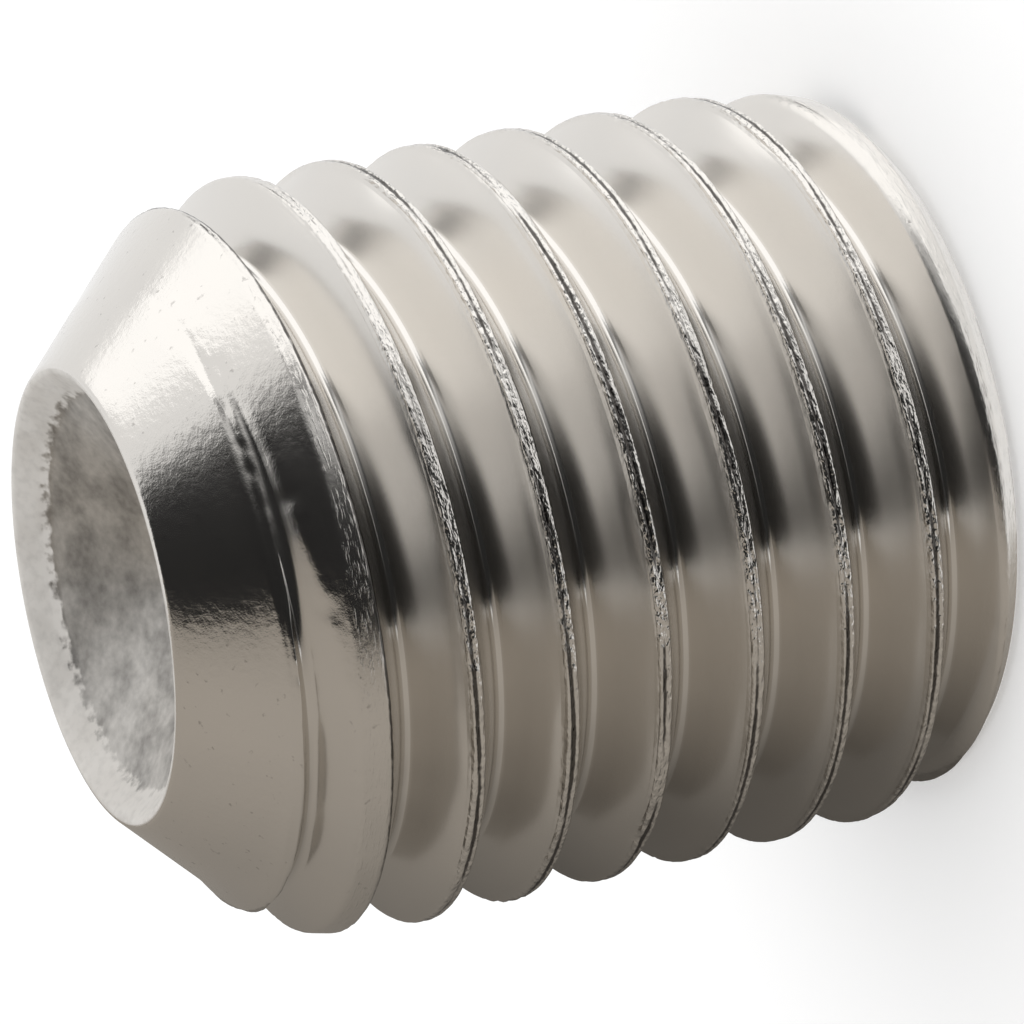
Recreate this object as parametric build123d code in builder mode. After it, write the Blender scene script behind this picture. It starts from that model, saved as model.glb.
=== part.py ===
"""Hexagon socket set screw with a cup point and a coarse 16 mm metric thread.

The screw stands on its driven end. The origin is the centre of that end face, +Z runs along the
thread axis to the cup point, and all lengths are in millimetres.
"""

from build123d import *

import os
from math import ceil, radians, tan

# Body
length = 17.2
major_diameter = 15.6

# Thread: 60 degree profile, right-handed, with flats at the crest and the root
pitch = 2.0
flank_angle = 30.0
crest_flat = 0.28
root_flat = 0.3

# The groove's height over the end face where it crosses the XZ plane, as a share of the pitch
groove_height_share = 0.906

# The rolled crests rise to their full height over a shallow cone at each end
run_in_depth = 0.35
run_in_length = 1.55

# Cup point: a narrow rim between the cone and the cup, whose slopes are measured from the end plane
point_angle = 45.0
rim_diameter = 9.42
rim_width = 0.14
cup_wall_angle = 48.0
cup_wall_width = 0.48
cup_floor_angle = 30.0

# Driven end
end_chamfer_depth = 0.4
end_chamfer_angle = 45.0
socket_across_flats = 8.0
socket_depth = 8.0
socket_mouth_diameter = 9.6
socket_mouth_angle = 30.0
drill_point_angle = 30.0

# How far the groove's cutting profile stands out past the crests
overrun = 0.14

major_radius = major_diameter / 2
run_in_radius = major_radius - run_in_depth

# The point rises from the run-in to the rim, and the cup's wall and floor go down inside it
rim_radius = rim_diameter / 2
point_base_height = length - (run_in_radius - rim_radius) * tan(radians(point_angle))
cup_wall_radius = rim_radius - rim_width
cup_floor_radius = cup_wall_radius - cup_wall_width
cup_floor_height = length - cup_wall_width * tan(radians(cup_wall_angle))
cup_centre_height = cup_floor_height - cup_floor_radius * tan(radians(cup_floor_angle))

end_face_radius = run_in_radius - end_chamfer_depth
end_chamfer_height = end_chamfer_depth * tan(radians(end_chamfer_angle))
socket_radius = socket_across_flats / 2
socket_mouth_radius = socket_mouth_diameter / 2
socket_mouth_height = socket_mouth_radius * tan(radians(socket_mouth_angle))
drill_point_height = socket_depth + socket_radius * tan(radians(drill_point_angle))

# The groove is as deep as its two flanks reach between the crest's flat and the root's
groove_half_width = (pitch - crest_flat) / 2
root_half_width = root_flat / 2
root_radius = major_radius - (groove_half_width - root_half_width) / tan(radians(flank_angle))
groove_top_radius = major_radius + overrun
groove_top_half_width = groove_half_width + overrun * tan(radians(flank_angle))

# The first turn of the groove lies below the end face and the last one above the rim
groove_start_height = pitch * groove_height_share - 2 * pitch
groove_turns = ceil((length + pitch - groove_start_height) / pitch)

# One turn of the groove, swept along its helix. The whole groove is a row of such turns.
with BuildPart() as groove_turn:
    with BuildLine() as turn_path:
        Helix(pitch=pitch, height=pitch, radius=root_radius, center=(0, 0, groove_start_height))
    with BuildSketch(Plane(origin=(0, 0, groove_start_height), x_dir=(1, 0, 0), z_dir=(0, -1, 0))) as groove:
        with BuildLine():
            Polyline(
                (root_radius, root_half_width),
                (groove_top_radius, groove_top_half_width),
                (groove_top_radius, -groove_top_half_width),
                (root_radius, -root_half_width),
                close=True,
            )
        make_face()
    sweep(sections=groove.sketch, path=turn_path.line, is_frenet=True)

with BuildPart() as set_screw:
    # Turned blank: body, run-ins, point, rim and cup, with the chamfer at the driven end
    with BuildSketch(Plane.XZ):
        with BuildLine():
            Polyline(
                (0, cup_centre_height),
                (0, 0),
                (end_face_radius, 0),
                (run_in_radius, end_chamfer_height),
                (major_radius, end_chamfer_height + run_in_length),
                (major_radius, point_base_height - run_in_length),
                (run_in_radius, point_base_height),
                (rim_radius, length),
                (cup_wall_radius, length),
                (cup_floor_radius, cup_floor_height),
                close=True,
            )
        make_face()
    revolve(axis=Axis.Z)

    # Rolled thread
    with Locations(*[(0, 0, turn * pitch) for turn in range(groove_turns)]):
        add(groove_turn.part, mode=Mode.SUBTRACT)

    # Hexagon socket for the key
    with BuildSketch(Plane.XY):
        RegularPolygon(radius=socket_radius, side_count=6, major_radius=False)
    extrude(amount=socket_depth, mode=Mode.SUBTRACT)

    # Countersunk mouth of the socket, and the drilled cone at its bottom
    with BuildSketch(Plane.XZ):
        with BuildLine():
            Polyline((0, 0), (socket_mouth_radius, 0), (0, socket_mouth_height), close=True)
        make_face()
        with BuildLine():
            Polyline((0, socket_depth), (socket_radius, socket_depth), (0, drill_point_height), close=True)
        make_face()
    revolve(axis=Axis.Z, mode=Mode.SUBTRACT)

set_screw.part.label = "set_screw"
os.makedirs("parts", exist_ok=True)
export_step(set_screw.part, "parts/set_screw.step")
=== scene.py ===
"""Dresses the set screw: a fine mesh of the rolled thread, nicked bright steel, and a plain studio."""

import math

import bmesh
import bpy
import numpy as np
from mathutils import Matrix, Vector


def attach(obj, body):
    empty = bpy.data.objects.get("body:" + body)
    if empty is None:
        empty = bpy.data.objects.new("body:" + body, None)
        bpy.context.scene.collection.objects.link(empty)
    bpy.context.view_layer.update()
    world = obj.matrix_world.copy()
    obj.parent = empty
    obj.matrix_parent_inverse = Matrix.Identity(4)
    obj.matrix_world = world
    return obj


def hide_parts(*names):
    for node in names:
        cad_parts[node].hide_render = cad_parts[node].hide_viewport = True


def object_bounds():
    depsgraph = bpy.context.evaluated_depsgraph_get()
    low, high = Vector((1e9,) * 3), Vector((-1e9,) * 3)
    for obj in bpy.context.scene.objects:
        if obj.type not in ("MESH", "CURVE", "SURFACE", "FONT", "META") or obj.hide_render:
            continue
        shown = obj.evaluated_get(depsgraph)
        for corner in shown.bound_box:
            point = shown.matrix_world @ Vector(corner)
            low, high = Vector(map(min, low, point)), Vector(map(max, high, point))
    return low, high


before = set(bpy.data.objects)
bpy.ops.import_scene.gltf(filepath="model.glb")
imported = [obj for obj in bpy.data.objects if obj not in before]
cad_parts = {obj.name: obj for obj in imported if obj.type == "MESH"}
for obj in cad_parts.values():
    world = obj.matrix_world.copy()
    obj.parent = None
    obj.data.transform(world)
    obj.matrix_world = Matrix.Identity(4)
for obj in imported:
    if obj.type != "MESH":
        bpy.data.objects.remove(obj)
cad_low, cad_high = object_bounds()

full_turn = 2 * math.pi

# Sizes in metres. The length and the outside radius are the frame's, the rest follows the screw's own form.
length = cad_high.z - cad_low.z
major_radius = (cad_high.x - cad_low.x) / 2

# Thread, with the round root and the softened edges that rolling leaves
pitch = 0.002
flank_angle = math.radians(30)
crest_flat = 0.00028
root_radius = 0.00017
groove_height_share = 0.906
edge_rounding = 0.00003
run_in_depth = 0.00035
run_in_length = 0.00155

# Seam along the middle of each crest, where the two ridges of rolled metal don't quite meet
seam_depth = 0.000045
seam_depth_change = 0.000018
seam_wander_share = 0.12
seam_start_height = 0.0007
seam_end_height = 0.0130
seam_fade = 0.0008
ridge_place_share = 0.5
ridge_limit_share = 1.4
crest_spread_share = 1.6

# Nicks on the ridges and on the edges of the first and last turn. Their widths are in steps of the grid.
nick_seed = 7
nicks_per_turn = 30
nick_depth = 0.000018
nick_limit = 0.00006
nick_narrowest = 0.6
nick_widest = 2.2
nick_place_share = 0.6
nick_spread_share = 0.5
ridge_wear = 0.000006
edge_nick_share = 0.8
edge_width = 0.00006

# Smoothing of the noise along the crests, in steps of the grid, and its reach as a multiple of that
wear_smoothing = 1
seam_depth_smoothing = 5
seam_wander_smoothing = 9
smoothing_reach = 4

# Point and cup, whose slopes are measured from the end plane
point_angle = math.radians(45)
point_rim_radius = 0.00471
rim_width = 0.00014
cup_wall_angle = math.radians(48)
cup_wall_width = 0.00048
cup_floor_angle = math.radians(30)
cup_unevenness = 0.000012
cup_wave_counts = [3, 7, 17]
cup_wave_starts = [1, 0, 2]

# Lip that the rolling raised on the point where the groove starts, and the fold along its edge
lip_height = 0.00020
lip_low = 0.0141
lip_high = 0.0154
lip_spread = 0.0016
fold_depth = 0.00006
fold_offset = 0.00016
fold_width = 0.00014
fold_low = 0.0144
fold_high = 0.0157

# Driven end
end_chamfer_depth = 0.0004
socket_sides = 6
socket_flat_radius = 0.004
socket_depth = 0.008
socket_mouth_radius = 0.0048
socket_mouth_angle = math.radians(30)
drill_angle = math.radians(30)

# Grid of the mesh: points round the axis, and rows across one half of the thread as shares of half a pitch
columns = 400
row_shares = [0, 0.05, 0.1, 0.15, 0.36, 0.6, 0.72, 0.80, 0.85, 0.885, 0.92, 0.96, 1.0]
fine_rows = 19
fine_low_height = 0.0140
fine_high_height = 0.0160
spare_turns = 2
cone_rings = 8
rim_rings = 7
wall_rings = 4
cup_floor_shares = [0.03, 0.08, 0.25, 0.45, 0.65, 0.85, 1]
weld_distance = 0.0000005

# Marks for the material: how far they reach and fade across a crest, as shares of half its width
crest_mark_end_share = 1.15
crest_mark_fade_share = 0.3
# Place and spread, across the crest, of the shade painted along the seam
seam_shade_place_share = 0.15
seam_shade_spread_share = 0.42

# Worked out from the sizes above
half_pitch = pitch / 2
half_crest = crest_flat / 2
flank_run = math.tan(flank_angle)
sharp_depth = (half_pitch - half_crest) / flank_run
root_centre_radius = major_radius - sharp_depth + root_radius / math.sin(flank_angle)
flank_base_radius = root_centre_radius - root_radius * math.sin(flank_angle)
flank_base_half_width = root_radius * math.cos(flank_angle)
run_in_radius = major_radius - run_in_depth
end_face_radius = run_in_radius - end_chamfer_depth
point_base_height = length - (run_in_radius - point_rim_radius) * math.tan(point_angle)
cup_floor_radius = point_rim_radius - rim_width - cup_wall_width
below_cup_height = length - 2 * point_rim_radius * flank_run
above_socket_height = socket_depth + socket_flat_radius
root_mark_width = 2 * flank_base_half_width
blank_mark_fade = 4 * edge_rounding
point_mark_fade = run_in_length / 2

# The rim's arc touches the cone, the end plane and the cup's wall
rim_radius = rim_width / (math.tan(point_angle / 2) + math.tan(cup_wall_angle / 2))
rim_centre_radius = point_rim_radius - rim_radius * math.tan(point_angle / 2)
rim_centre_height = length - rim_radius

azimuths = np.arange(columns) * full_turn / columns
crest_turns = math.ceil(length / pitch) + 2 * spare_turns
crest_samples = crest_turns * columns
chance = np.random.RandomState(nick_seed)


def smooth_noise(width):
    """Noise along the crest, with a spread of one, smoothed over a number of grid steps."""
    reach = smoothing_reach * width
    steps = np.arange(-reach, reach + 1)
    weights = np.exp(-((steps / width) ** 2) / 2)
    noise = np.convolve(chance.normal(size=crest_samples), weights, mode="same")
    return noise / noise.std()


def bell(value, width):
    """Falls smoothly from 1 as a value leaves zero."""
    return np.exp(-((value / width) ** 2))


def nicks():
    """Depth of the nicks and the fine wear along one ridge of the crest."""
    depth = ridge_wear * np.abs(smooth_noise(wear_smoothing))
    steps = np.arange(crest_samples)
    for place in chance.uniform(0, crest_samples, nicks_per_turn * crest_turns):
        size = min(chance.exponential(nick_depth), nick_limit)
        width = chance.uniform(nick_narrowest, nick_widest)
        depth = np.maximum(depth, size * bell(steps - place, width))
    return depth


seam_depths = seam_depth + seam_depth_change * smooth_noise(seam_depth_smoothing)
seam_depths = np.clip(seam_depths, 0, 2 * seam_depth)
seam_places = seam_wander_share * smooth_noise(seam_wander_smoothing)
tip_side_nicks = nicks()
driven_side_nicks = nicks()


def soft_minimum(first, second):
    """The smaller of two radii, with the edge between them rounded."""
    return (first + second - np.sqrt((first - second) ** 2 + edge_rounding**2)) / 2


def window(value, low, high):
    """Rises smoothly from 0 at the low end to 1 in the middle and falls back to 0 at the high end."""
    return np.sin(math.pi * np.clip((value - low) / (high - low), 0, 1))


def turned_radius(height):
    """Radius of the turned blank: chamfer, run-ins, body and point."""
    heights = [0, end_chamfer_depth, end_chamfer_depth + run_in_length]
    heights += [point_base_height - run_in_length, point_base_height, length]
    radii = [end_face_radius, run_in_radius, major_radius, major_radius, run_in_radius, point_rim_radius]
    return np.interp(height, heights, radii)


def groove_travel(height, azimuth):
    """Number of pitches along the axis from the groove's first turn to a point."""
    return height / pitch - groove_height_share - azimuth / full_turn


def crest_offset(height, azimuth):
    """Distance of a point along the axis from the middle of the crest beside it."""
    travel = groove_travel(height, azimuth)
    return (travel - np.floor(travel)) * pitch - half_pitch


def crest_sample(height, azimuth):
    """Number of the step along the crests that is beside a point."""
    turn = np.floor(groove_travel(height, azimuth))
    return np.round((turn + azimuth / full_turn) * columns).astype(int) % crest_samples


def flank_radius(height, azimuth):
    """Radius of the groove's root and flanks, as if the flanks had no end."""
    from_groove = half_pitch - np.abs(crest_offset(height, azimuth))
    root = root_centre_radius - np.sqrt(np.maximum(root_radius**2 - from_groove**2, 0))
    flank = flank_base_radius + (from_groove - flank_base_half_width) / flank_run
    return np.where(from_groove < flank_base_half_width, root, flank)


def rolled_radius(height, azimuth):
    """Radius of the blank with the lip that the rolling raised on the point."""
    from_crest = crest_offset(height, azimuth)
    groove_height = height - from_crest - half_pitch
    outward = flank_radius(height, azimuth) - turned_radius(height)
    lip = window(groove_height, lip_low, lip_high) * (1 - np.clip(outward / lip_spread, 0, 1)) ** 2
    return turned_radius(height) + np.where(from_crest < 0, lip_height * lip, 0)


def half_flat(height):
    """Half the width of the flat that the groove leaves on the blank."""
    return half_crest + (major_radius - turned_radius(height)) * flank_run


def crest_share(height, azimuth):
    """Place across the crest: 0 in the middle, 1 and -1 at its edges."""
    return crest_offset(height, azimuth) / half_flat(height)


def from_driven_edge(height, azimuth):
    """Distance along the axis from the crest's edge on the driven side."""
    return crest_offset(height, azimuth) + half_flat(height)


def from_tip_edge(height, azimuth):
    """Distance along the axis from the crest's edge on the side of the point."""
    return crest_offset(height, azimuth) - half_flat(height)


def seam_presence(height, azimuth):
    """One where a crest has its seam, falling to zero on the first turn at each end."""
    crest_height = height - crest_offset(height, azimuth)
    below_point = np.clip((seam_end_height - crest_height) / seam_fade, 0, 1)
    above_driven_end = np.clip((crest_height - seam_start_height) / seam_fade, 0, 1)
    return below_point * above_driven_end


def crest_hollow(height, azimuth):
    """How far the seam and the nicks go below the crest."""
    sample = crest_sample(height, azimuth)
    share = crest_share(height, azimuth)
    from_ridge = np.abs(share - seam_places[sample]) / ridge_place_share - 1
    ridges = seam_depths[sample] * np.clip(np.abs(from_ridge), 0, ridge_limit_share) ** 2
    tip_side = tip_side_nicks[sample] * bell(share - nick_place_share, nick_spread_share)
    driven_side = driven_side_nicks[sample] * bell(share + nick_place_share, nick_spread_share)
    crest = (ridges + tip_side + driven_side) * bell(share, crest_spread_share)
    edges = driven_side_nicks[sample] * bell(from_driven_edge(height, azimuth), edge_width)
    edges += tip_side_nicks[sample] * bell(from_tip_edge(height, azimuth), edge_width)
    presence = seam_presence(height, azimuth)
    return crest * presence + edge_nick_share * edges * (1 - presence)


def fold_hollow(height, azimuth):
    """How far the fold and its nicks go in, along the edge of the groove where it starts."""
    from_crest = crest_offset(height, azimuth)
    groove_height = height - from_crest - half_pitch
    from_edge = flank_radius(height, azimuth) - rolled_radius(height, azimuth)
    fold = fold_depth * bell(from_edge - fold_offset, fold_width)
    nicked = tip_side_nicks[crest_sample(height, azimuth)] * bell(from_edge, fold_width)
    presence = window(groove_height, fold_low, fold_high)
    return np.where(from_crest < 0, (fold + nicked) * presence, 0)


def surface_radius(height, azimuth):
    """Radius of the screw's outside at a height and an azimuth."""
    plain = soft_minimum(flank_radius(height, azimuth), rolled_radius(height, azimuth))
    return plain - crest_hollow(height, azimuth) - fold_hollow(height, azimuth)


def ring(radius, azimuth, height):
    """Points at a radius, an azimuth and a height."""
    return np.stack([radius * np.cos(azimuth), radius * np.sin(azimuth), height], axis=-1)


def ring_points(rings):
    """Points of a row of rings, each with its radii and its heights."""
    return np.concatenate([ring(radius, azimuths, height) for radius, height in rings])


def ring_faces(rings):
    """Faces between each ring of a row and the next."""
    faces = []
    for row in range(len(rings) - 1):
        low = row * columns
        high = low + columns
        for column in range(columns):
            following = (column + 1) % columns
            faces.append((low + column, low + following, high + following, high + column))
    return faces


def helical_band(low, high, shares):
    """Points and faces of the outside between two heights, in rows that follow the thread."""
    half_rows = np.array(shares) * half_pitch
    rows = np.sort(np.concatenate([-half_rows[1:-1], half_rows]))
    turns = range(math.floor(low / pitch) - spare_turns, math.ceil(high / pitch) + spare_turns)
    offsets = np.concatenate([rows + turn * pitch for turn in turns])
    count = len(offsets)
    points = []
    for azimuth in azimuths:
        height = np.clip(offsets + pitch * (groove_height_share + azimuth / full_turn), low, high)
        points.append(ring(surface_radius(height, azimuth), azimuth, height))
    faces = []
    for column in range(columns):
        following = (column + 1) % columns
        shift = len(rows) if following == 0 else 0
        for row in range(count - 1 - shift):
            first = column * count + row
            second = following * count + row + shift
            faces.append((first, second, second + 1, first + 1))
    return np.concatenate(points), faces


def point_band():
    """Points and faces from the top of the thread over the cone and the rim into the cup."""
    cone_top_height = rim_centre_height + rim_radius * math.cos(point_angle)
    rings = []
    for height in np.linspace(fine_high_height, cone_top_height, cone_rings):
        heights = np.full(columns, height)
        rings.append((surface_radius(heights, azimuths), heights))
    for angle in np.linspace(point_angle, -cup_wall_angle, rim_rings)[1:]:
        radius = rim_centre_radius + rim_radius * math.sin(angle)
        height = rim_centre_height + rim_radius * math.cos(angle)
        rings.append((np.full(columns, radius), np.full(columns, height)))
    wall_radius, wall_height = rings[-1]
    waves = [np.sin(count * azimuths + start) for count, start in zip(cup_wave_counts, cup_wave_starts)]
    wall_width = cup_wall_width + cup_unevenness * sum(waves)
    for share in np.linspace(0, 1, wall_rings)[1:]:
        step = wall_width * share
        rings.append((wall_radius - step, wall_height - step * math.tan(cup_wall_angle)))
    floor_radius, floor_height = rings[-1]
    for share in cup_floor_shares:
        depth = floor_radius * share * math.tan(cup_floor_angle)
        height = floor_height.mean() * share + floor_height * (1 - share) - depth
        rings.append((floor_radius * (1 - share), height))
    return ring_points(rings), ring_faces(rings)


def driven_end_band():
    """Points and faces of the end face, the countersunk mouth, the socket's walls and the drilled cone."""
    sector = full_turn / socket_sides
    hexagon = socket_flat_radius / np.cos(np.mod(azimuths, sector) - sector / 2)
    flat = np.zeros(columns)
    edge = surface_radius(flat, azimuths)
    mouth = np.full(columns, socket_mouth_radius)
    bottom = np.full(columns, socket_depth)
    rings = [
        (edge, flat),
        ((edge + mouth) / 2, flat),
        (mouth, flat),
        (hexagon, (socket_mouth_radius - hexagon) * math.tan(socket_mouth_angle)),
        (hexagon, bottom),
        (np.full(columns, socket_flat_radius), bottom),
        (flat, bottom + socket_flat_radius * math.tan(drill_angle)),
    ]
    return ring_points(rings), ring_faces(rings)


def add_mark(mesh, name, values):
    """Writes one number for each point of a mesh, for its material to read."""
    mesh.attributes.new(name, "FLOAT", "POINT").data.foreach_set("value", values.astype(np.float32))


def mark_screw(mesh):
    """Marks the crests, their seams, the roots, the plain lands, the point, the cup and the cup's floor."""
    places = np.empty(3 * len(mesh.vertices))
    mesh.vertices.foreach_get("co", places)
    across, deep, height = places.reshape(-1, 3).T
    azimuth = np.mod(np.arctan2(deep, across), full_turn)
    radius = np.hypot(across, deep)
    above_end_face = height > weld_distance
    outside = (radius > end_face_radius - sharp_depth) & above_end_face & (height < fine_high_height)
    on_thread = outside & (height < point_base_height)
    in_cup = (radius < rim_centre_radius) & (height > below_cup_height)
    on_blank = np.clip(1 - (rolled_radius(height, azimuth) - radius) / blank_mark_fade, 0, 1)
    on_cone = np.clip((height - point_base_height + point_mark_fade) / point_mark_fade, 0, 1)
    on_floor = np.clip((cup_floor_radius - radius) / rim_width, 0, 1) * (height > below_cup_height)

    sample = crest_sample(height, azimuth)
    share = crest_share(height, azimuth)
    from_groove = half_pitch - np.abs(crest_offset(height, azimuth))
    seamed = seam_presence(height, azimuth)
    presence = seamed * outside
    crest = presence * np.clip((crest_mark_end_share - np.abs(share)) / crest_mark_fade_share, 0, 1)
    # The seam mark places painted shade in the seam's crease, and along the nicked edge of the end turns
    seam = presence * bell(share - seam_places[sample] - seam_shade_place_share, seam_shade_spread_share)
    seam = seam * np.sqrt(seam_depths[sample] / seam_depth)
    edge = bell(from_driven_edge(height, azimuth), edge_width) * on_thread * (1 - presence)

    add_mark(mesh, "crest", crest)
    add_mark(mesh, "seam", np.maximum(seam, edge))
    add_mark(mesh, "root", bell(from_groove, root_mark_width) * outside)
    add_mark(mesh, "land", on_blank * on_thread * (1 - seamed))
    add_mark(mesh, "point", on_cone * on_blank * (radius >= rim_centre_radius))
    add_mark(mesh, "cup", in_cup.astype(float))
    add_mark(mesh, "floor", on_floor)


def screw_mesh():
    """The whole screw as one closed mesh. The end face and the socket are shaded flat, the rest smooth."""
    bands = [
        helical_band(0, fine_low_height, row_shares),
        helical_band(fine_low_height, fine_high_height, np.linspace(0, 1, fine_rows)),
        point_band(),
        driven_end_band(),
    ]
    points = []
    faces = []
    start = 0
    for band_points, band_faces in bands:
        points.append(band_points)
        faces.extend(tuple(index + start for index in face) for face in band_faces)
        start += len(band_points)
    mesh = bpy.data.meshes.new("screw")
    mesh.from_pydata(np.concatenate(points).tolist(), [], faces)
    work = bmesh.new()
    work.from_mesh(mesh)
    bmesh.ops.remove_doubles(work, verts=work.verts, dist=weld_distance)
    bmesh.ops.dissolve_degenerate(work, edges=work.edges, dist=weld_distance)
    bmesh.ops.recalc_face_normals(work, faces=work.faces)
    for face in work.faces:
        middle = face.calc_center_median()
        in_socket = middle.xy.length < socket_mouth_radius and middle.z < above_socket_height
        on_end_face = middle.z < weld_distance
        face.smooth = not (in_socket or on_end_face)
    work.to_mesh(mesh)
    work.free()
    mark_screw(mesh)
    return mesh


# Steel: scale and detail of each noise. The streaks and the beads run round the axis.
cloud_noise = (450.0, 3.0)
stain_and_shade_noise = (1100.0, 5.0)
blotch_noise = (5200.0, 4.0)
grain_noise = (26000.0, 3.0)
streak_noise = (24.0, 3.0)
bead_noise = (12.0, 2.0)
bead_stretch = (3, 3, 1)
turning_height_scale = 1000.0

# Values of the noises between which a mark comes in
speck_range = (0.66, 0.74)
fleck_range = (0.52, 0.72)
stain_and_shade_range = (0.42, 0.62)
mottle_range = (0.45, 0.75)
seam_shade_range = (0.45, 0.75)
floor_edge_range = (0.9, 1.3)
floor_edge_blotch = 1.6
floor_start_range = (0.0, 0.1)

# Heights of the grain, in micrometres
micrometre = 0.000001
grain_height = 0.5
point_grain_height = 1.5
point_streak_height = 1.6
point_blotch_height = 7.0
land_fleck_height = 7.0
crest_bead_height = 70.0
cup_cloud_height = 20.0

# Colours, and how much of the dark colour each mark shows: painted shade in the seam and on the cup's
# floor, dirt specks on the point, faint mottle on the cup's wall
cool_steel = (0.67, 0.65, 0.62, 1)
warm_steel = (0.715, 0.685, 0.645, 1)
dirt_and_shade_colour = (0.05, 0.045, 0.04, 1)
bead_shade_lift = 0.5
seam_shade_share = 0.92
speck_dirt_share = 0.35
floor_patch_shade_share = 0.28
floor_blotch_shade_share = 0.5
mottle_dirt_share = 0.13

# Roughness of the flanks and its changes elsewhere, and how dull the cup's wall is, less so where stained
base_roughness = 0.20
cloud_roughness = 0.08
root_roughness = -0.12
point_roughness = -0.10
crest_roughness = -0.08
cup_roughness = 0.45
cup_floor_roughness = -0.22
wall_dull_share = 0.72
stain_dull_share = -0.2


def add_node(tree, kind, settings=None, inputs=None):
    """Adds a shader node. An input is a plain value or another node's output."""
    made = tree.nodes.new(kind)
    for name, value in (settings or {}).items():
        setattr(made, name, value)
    for name, value in (inputs or {}).items():
        if isinstance(value, bpy.types.NodeSocket):
            tree.links.new(value, made.inputs[name])
        else:
            made.inputs[name].default_value = value
    return made


def math_node(tree, operation, *values):
    """Output of a Math node."""
    made = add_node(tree, "ShaderNodeMath", {"operation": operation}, dict(enumerate(values)))
    return made.outputs["Value"]


def product(tree, first, second):
    """Output that multiplies two values."""
    return math_node(tree, "MULTIPLY", first, second)


def add_product(tree, base, first, second):
    """Output that adds the product of two values to a base."""
    return math_node(tree, "MULTIPLY_ADD", first, second, base)


def vector_node(tree, operation, *vectors):
    """Output of a Vector Math node."""
    made = add_node(tree, "ShaderNodeVectorMath", {"operation": operation}, dict(enumerate(vectors)))
    return made.outputs["Vector"]


def mark_node(tree, name):
    """Output that reads one of the mesh's marks."""
    return add_node(tree, "ShaderNodeAttribute", {"attribute_name": name}).outputs["Fac"]


def noise_node(tree, vector, scale, detail):
    """Output of a noise texture, from 0 to 1."""
    inputs = {"Vector": vector, "Scale": scale, "Detail": detail}
    return add_node(tree, "ShaderNodeTexNoise", inputs=inputs).outputs["Fac"]


def ramp_node(tree, value, low, high):
    """Output that rises from 0 to 1 between a low and a high value."""
    inputs = {"Value": value, "From Min": low, "From Max": high}
    return add_node(tree, "ShaderNodeMapRange", inputs=inputs).outputs["Result"]


def colour_node(tree, share, first, second):
    """Output that goes from one colour to another."""
    inputs = {"Factor": share, "A": first, "B": second}
    return add_node(tree, "ShaderNodeMix", {"data_type": "RGBA"}, inputs).outputs["Result"]


def turning_place(tree, place):
    """Output with coordinates that run round the axis, for grain that follows the turning."""
    apart = add_node(tree, "ShaderNodeSeparateXYZ", inputs={"Vector": place}).outputs
    flat = add_node(tree, "ShaderNodeCombineXYZ", inputs={"X": apart["X"], "Y": apart["Y"]})
    upward = product(tree, apart["Z"], turning_height_scale)
    lifted = add_node(tree, "ShaderNodeCombineXYZ", inputs={"Z": upward})
    round_axis = vector_node(tree, "NORMALIZE", flat.outputs["Vector"])
    return vector_node(tree, "ADD", round_axis, lifted.outputs["Vector"])


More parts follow.
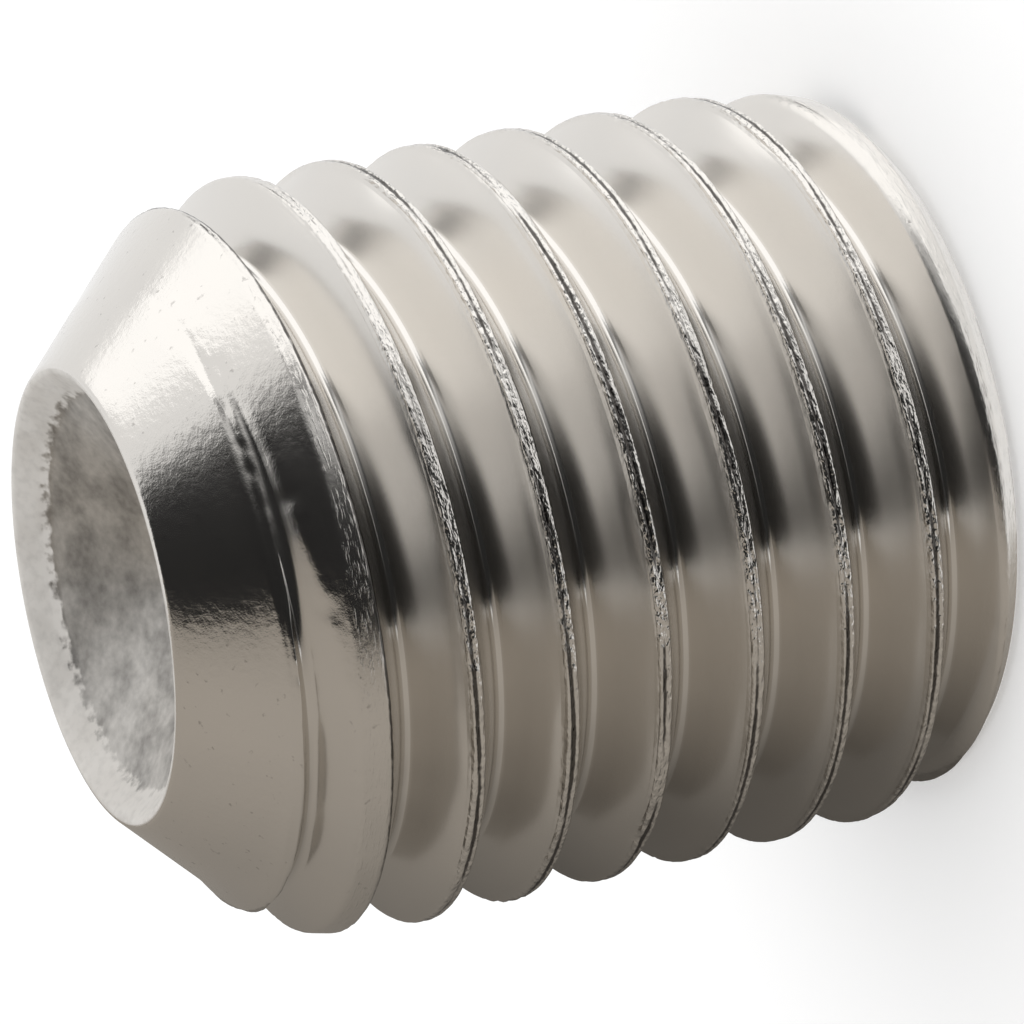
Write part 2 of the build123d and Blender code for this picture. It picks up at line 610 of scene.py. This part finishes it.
def steel_material():
    """Bright stainless steel: smooth flanks, worn crests with painted shade in their seams, a grained
    point, a dull cup with painted shade on its floor.
    """
    material = bpy.data.materials.new("steel")
    material.use_nodes = True
    tree = material.node_tree
    shader = tree.nodes["Principled BSDF"]
    crest = mark_node(tree, "crest")
    seam = mark_node(tree, "seam")
    root = mark_node(tree, "root")
    land = mark_node(tree, "land")
    point = mark_node(tree, "point")
    cup = mark_node(tree, "cup")
    plain_floor = mark_node(tree, "floor")

    place = add_node(tree, "ShaderNodeTexCoord").outputs["Object"]
    turning = turning_place(tree, place)
    cloud = noise_node(tree, place, *cloud_noise)
    grain = noise_node(tree, place, *grain_noise)
    blotch = noise_node(tree, place, *blotch_noise)
    streak = noise_node(tree, turning, *streak_noise)
    bead = noise_node(tree, vector_node(tree, "MULTIPLY", turning, bead_stretch), *bead_noise)
    stain_and_shade = ramp_node(tree, noise_node(tree, place, *stain_and_shade_noise), *stain_and_shade_range)
    speck = ramp_node(tree, blotch, *speck_range)
    mottle = ramp_node(tree, blotch, *mottle_range)
    fleck = ramp_node(tree, streak, *fleck_range)

    # The edge of the cup's floor is ragged. The wall is the rest of the cup.
    ragged = ramp_node(tree, add_product(tree, plain_floor, blotch, floor_edge_blotch), *floor_edge_range)
    cup_floor = product(tree, ragged, ramp_node(tree, plain_floor, *floor_start_range))
    cup_wall = math_node(tree, "SUBTRACT", cup, cup_floor)

    # Bump: grain all over, more on the point, flecks on the lands, beads on the crests, clouds in the cup
    bumps = [
        (point, streak, point_streak_height),
        (point, blotch, point_blotch_height),
        (land, fleck, land_fleck_height),
        (crest, bead, crest_bead_height),
        (cup, cloud, cup_cloud_height),
    ]
    height = product(tree, grain, add_product(tree, grain_height, point, point_grain_height))
    for mark, noise, bump_height in bumps:
        height = add_product(tree, height, product(tree, mark, noise), bump_height)
    bump = add_node(tree, "ShaderNodeBump", inputs={"Height": height, "Distance": micrometre})
    tree.links.new(bump.outputs["Normal"], shader.inputs["Normal"])

    # Colour: faint warm and cool patches, painted shade in the seam, specks on the point, painted shade in
    # blotches on the cup's floor, faint mottle on its wall
    # Painted shade along the seam, broken up by the beads
    beaded_seam = product(tree, seam, math_node(tree, "ADD", bead, bead_shade_lift))
    # Painted shade on the cup's floor, in blotches from two noises
    cup_floor_shade = add_product(tree, product(tree, blotch, floor_blotch_shade_share), stain_and_shade, floor_patch_shade_share)
    dirt_and_shade_marks = [
        (point, product(tree, speck, speck_dirt_share)),
        (cup_floor, cup_floor_shade),
        (cup_wall, product(tree, mottle, mottle_dirt_share)),
    ]
    dirt_and_shade = product(tree, ramp_node(tree, beaded_seam, *seam_shade_range), seam_shade_share)
    for mark, share in dirt_and_shade_marks:
        dirt_and_shade = math_node(tree, "MAXIMUM", dirt_and_shade, product(tree, mark, share))
    patches = colour_node(tree, cloud, cool_steel, warm_steel)
    tree.links.new(colour_node(tree, dirt_and_shade, patches, dirt_and_shade_colour), shader.inputs["Base Color"])

    # Roughness
    changes = [
        (root, root_roughness),
        (point, point_roughness),
        (crest, crest_roughness),
        (cup, cup_roughness),
        (cup_floor, cup_floor_roughness),
    ]
    roughness = add_product(tree, base_roughness, cloud, cloud_roughness)
    for mark, change in changes:
        roughness = add_product(tree, roughness, mark, change)
    tree.links.new(roughness, shader.inputs["Roughness"])

    # The cup's wall is dull, so it scatters light as well as reflecting it
    dull = product(tree, cup_wall, add_product(tree, wall_dull_share, stain_and_shade, stain_dull_share))
    tree.links.new(math_node(tree, "SUBTRACT", 1.0, dull), shader.inputs["Metallic"])
    return material


screw = bpy.data.objects.new("set_screw_body", screw_mesh())
screw.data.materials.append(steel_material())
bpy.context.scene.collection.objects.link(screw)
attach(screw, "root")
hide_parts("set_screw")

# Camera: the photograph's view, rolled so that the point is on the left
camera_distance = 0.120
camera_elevation = math.radians(21.44)
camera_roll = math.radians(-101.46)
camera_aim_height = 0.00796
camera_lens = 204.8
sensor_width = 36
clip_start_share = 0.01

camera_data = bpy.data.cameras.new("camera")
camera_data.lens = camera_lens
camera_data.sensor_width = sensor_width
camera_data.clip_start = camera_distance * clip_start_share
camera = bpy.data.objects.new("camera", camera_data)
bpy.context.scene.collection.objects.link(camera)
camera.matrix_world = (
    Matrix.Translation((0, 0, camera_aim_height))
    @ Matrix.Rotation(math.pi / 2 - camera_elevation, 4, "X")
    @ Matrix.Translation((0, 0, camera_distance))
    @ Matrix.Rotation(camera_roll, 4, "Z")
)
bpy.context.scene.camera = camera

# Studio: a white tent with painted reflections of a dark opening round the camera and of a small dark gap
# behind, and a floor
white = (1, 1, 1, 1)
tent_radius = 0.29
tent_level = 1.0
floor_size = 2.0
floor_colour = (0.9, 0.9, 0.9, 1)
floor_lift = 0.16
floor_gap = 0.00002

# Glowing grey board beside the screw, seen only in reflections: its directions, its grid, and its level at
# distances from the screw's shadow painted on it
board_away = Vector((0.888, -0.459, 0.0))
board_front = Vector((-0.459, -0.888, 0.0))
board_gap = 0.009
board_colour = (1, 0.92, 0.82, 1)
board_fronts = [-0.0115, -0.008, -0.004, 0, 0.004, 0.008, 0.012, 0.02, 0.03, 0.06, 0.12, 0.3]
board_heights = [-0.022, -0.015, -0.008, -0.004, 0, 0.008, 0.016, 0.021, 0.026, 0.034, 0.05, 0.08, 0.15]
board_distances = [0, 0.004, 0.008, 0.012, 0.02, 0.03, 0.06, 0.17]
board_levels_with_painted_shadow = [0.10, 0.13, 0.27, 0.38, 0.45, 0.46, 0.40, 0.28]
board_painted_shadow_high = 0.007

# Opening, a painted reflection, in degrees round the screw and above the board: lower edge, height as a
# share, and fading
opening_front = Vector((-0.4142, -0.8129, 0.4094))
opening_side = Vector((-0.1987, -0.3582, -0.9122))
opening_columns = 48
opening_rows = 40
opening_turns = [-80, -72, -60, -30, 0, 55, 61, 78]
opening_lows = [-11, -10, -9, -6, -4, -4, -4, -4]
opening_height_shares = [0.6, 0.66, 0.74, 1, 1, 1, 1, 1]
opening_side_fade_shares = [1, 0, 0, 0, 0, 0, 1, 1]
fade_rises = [-4, 6, 24]
fade_shares = [0.3, 0.3, 1]
opening_rises = [0, 30, 40, 48, 56, 64, 69, 75, 80, 88]
opening_levels = [0.02, 0.03, 0.06, 0.18, 0.42, 0.75, 0.6, 0.2, 0.35, 1]

# Gap at the back of the tent, a painted reflection, in degrees
gap_turn = -155
gap_rise = 29
gap_half_turn = 11
gap_half_rise = 13
gap_points = 15
gap_level = 0.05

# Soft lamp
softbox_side = Vector((0.999, -0.04, 0.03))
softbox_distance = 0.3
softbox_size = 0.6
softbox_power = 0.5


def add_stage(name, mesh, material):
    """Adds a piece of the studio that isn't part of the object."""
    piece = bpy.data.objects.new(name, mesh)
    mesh.materials.append(material)
    bpy.context.scene.collection.objects.link(piece)
    return piece


def background_rays(tree):
    """Output that is 1 for rays from the camera and for reflected or transmitted ones."""
    path = add_node(tree, "ShaderNodeLightPath")
    seen = math_node(tree, "MAXIMUM", path.outputs["Is Camera Ray"], path.outputs["Is Glossy Ray"])
    return math_node(tree, "MAXIMUM", seen, path.outputs["Is Transmission Ray"])


def floor_material():
    """White paper that keeps the object's shadow, and that is clear from below."""
    material = bpy.data.materials.new("floor")
    material.use_nodes = True
    tree = material.node_tree
    shader = tree.nodes["Principled BSDF"]
    shader.inputs["Base Color"].default_value = floor_colour
    shader.inputs["Roughness"].default_value = 1
    shader.inputs["Specular IOR Level"].default_value = 0
    shader.inputs["Emission Color"].default_value = white
    tree.links.new(product(tree, background_rays(tree), floor_lift), shader.inputs["Emission Strength"])
    clear = add_node(tree, "ShaderNodeBsdfTransparent").outputs["BSDF"]
    below = add_node(tree, "ShaderNodeNewGeometry").outputs["Backfacing"]
    both = add_node(tree, "ShaderNodeMixShader", inputs={0: below, 1: shader.outputs["BSDF"], 2: clear})
    tree.links.new(both.outputs["Shader"], tree.nodes["Material Output"].inputs["Surface"])
    return material


def card_material(name, colour):
    """A card that glows in one colour at the level written on its points: painted light, not a lamp."""
    material = bpy.data.materials.new(name)
    material.use_nodes = True
    tree = material.node_tree
    level = mark_node(tree, "level")
    glow = add_node(tree, "ShaderNodeEmission", inputs={"Color": colour, "Strength": level})
    tree.links.new(glow.outputs["Emission"], tree.nodes["Material Output"].inputs["Surface"])
    material.cycles.emission_sampling = "NONE"
    return material


def grid_faces(across, up):
    """Faces of a grid of points."""
    faces = []
    for column in range(across - 1):
        for row in range(up - 1):
            low = column * up + row
            faces.append((low, low + up, low + up + 1, low + 1))
    return faces


def add_card(name, colour, points, across, levels):
    """Adds a glowing card that only reflections see, a painted reflection, from a grid of points and their
    levels.
    """
    mesh = bpy.data.meshes.new(name)
    mesh.from_pydata([tuple(point) for point in points], [], grid_faces(across, len(points) // across))
    add_mark(mesh, "level", np.array(levels))
    card = add_stage(name, mesh, card_material(name, colour))
    card.visible_camera = False
    card.visible_diffuse = False
    card.visible_transmission = False
    card.visible_shadow = False


def add_board():
    """Glowing grey board that one side of the screw reflects, darkest in the screw's shadow painted on it
    beside the driven end.
    """
    points = []
    levels = []
    for front in board_fronts:
        for height in board_heights:
            points.append(board_front * front - board_away * board_gap + Vector((0, 0, height)))
            beside = math.hypot(front, max(-height, height - board_painted_shadow_high, 0))
            levels.append(np.interp(beside, board_distances, board_levels_with_painted_shadow))
    add_card("glowing_grey_board", board_colour, points, len(board_fronts), levels)


def tent_place(turn, rise):
    """Place on the tent, from its angles in degrees round the screw and above the board."""
    outward = opening_front * math.cos(math.radians(turn)) + opening_side * math.sin(math.radians(turn))
    direction = outward * math.cos(math.radians(rise)) + board_away * math.sin(math.radians(rise))
    return direction * tent_radius


def add_opening():
    """A painted reflection of the tent's dark opening round the camera, as seen from the screw: a card that
    glows at low levels. It fades at its top and sides.
    """
    points = []
    levels = []
    for turn in np.linspace(opening_turns[0], opening_turns[-1], opening_columns):
        low = np.interp(turn, opening_turns, opening_lows)
        height_share = np.interp(turn, opening_turns, opening_height_shares)
        side_fade_share = np.interp(turn, opening_turns, opening_side_fade_shares)
        for rise in np.linspace(low, opening_rises[-1] * height_share, opening_rows):
            points.append(tent_place(turn, rise))
            level = np.interp(rise / height_share, opening_rises, opening_levels)
            fade_share = side_fade_share * np.interp(rise, fade_rises, fade_shares)
            levels.append(level + (tent_level - level) * fade_share)
    add_card("tent_opening", white, points, opening_columns, levels)


def add_gap():
    """A painted reflection of a small dark gap at the back of the tent: a card that glows at low levels,
    with soft edges.
    """
    points = []
    levels = []
    for across in np.linspace(-1, 1, gap_points):
        for up in np.linspace(-1, 1, gap_points):
            points.append(tent_place(gap_turn + gap_half_turn * across, gap_rise + gap_half_rise * up))
            clear_share = min(across**2 + up**2, 1)
            levels.append(gap_level + (tent_level - gap_level) * clear_share)
    add_card("tent_gap", white, points, gap_points, levels)


def add_softbox():
    """Large soft lamp on the side of the screw away from the board."""
    lamp_data = bpy.data.lights.new("softbox", "AREA")
    lamp_data.size = softbox_size
    lamp_data.energy = softbox_power
    lamp = bpy.data.objects.new("softbox", lamp_data)
    lamp.location = softbox_side * softbox_distance
    lamp.rotation_euler = softbox_side.to_track_quat("Z", "Y").to_euler()
    lamp.visible_camera = False
    bpy.context.scene.collection.objects.link(lamp)


def add_floor():
    """Plain white floor. Reflections see the tent in its place."""
    half = floor_size / 2
    mesh = bpy.data.meshes.new("floor")
    flat = -floor_gap
    corners = [(-half, -half, flat), (half, -half, flat), (half, half, flat), (-half, half, flat)]
    mesh.from_pydata(corners, [], [(0, 1, 2, 3)])
    floor = add_stage("floor", mesh, floor_material())
    floor.visible_glossy = False


def add_world():
    """The white tent: an even light from every side, plain white to the camera and in reflections."""
    world = bpy.data.worlds.new("tent")
    bpy.context.scene.world = world
    world.use_nodes = True
    background = world.node_tree.nodes["Background"]
    background.inputs["Color"].default_value = white
    background.inputs["Strength"].default_value = tent_level


add_floor()
add_board()
add_opening()
add_gap()
add_softbox()
add_world()
bpy.context.scene.view_settings.view_transform = "Standard"
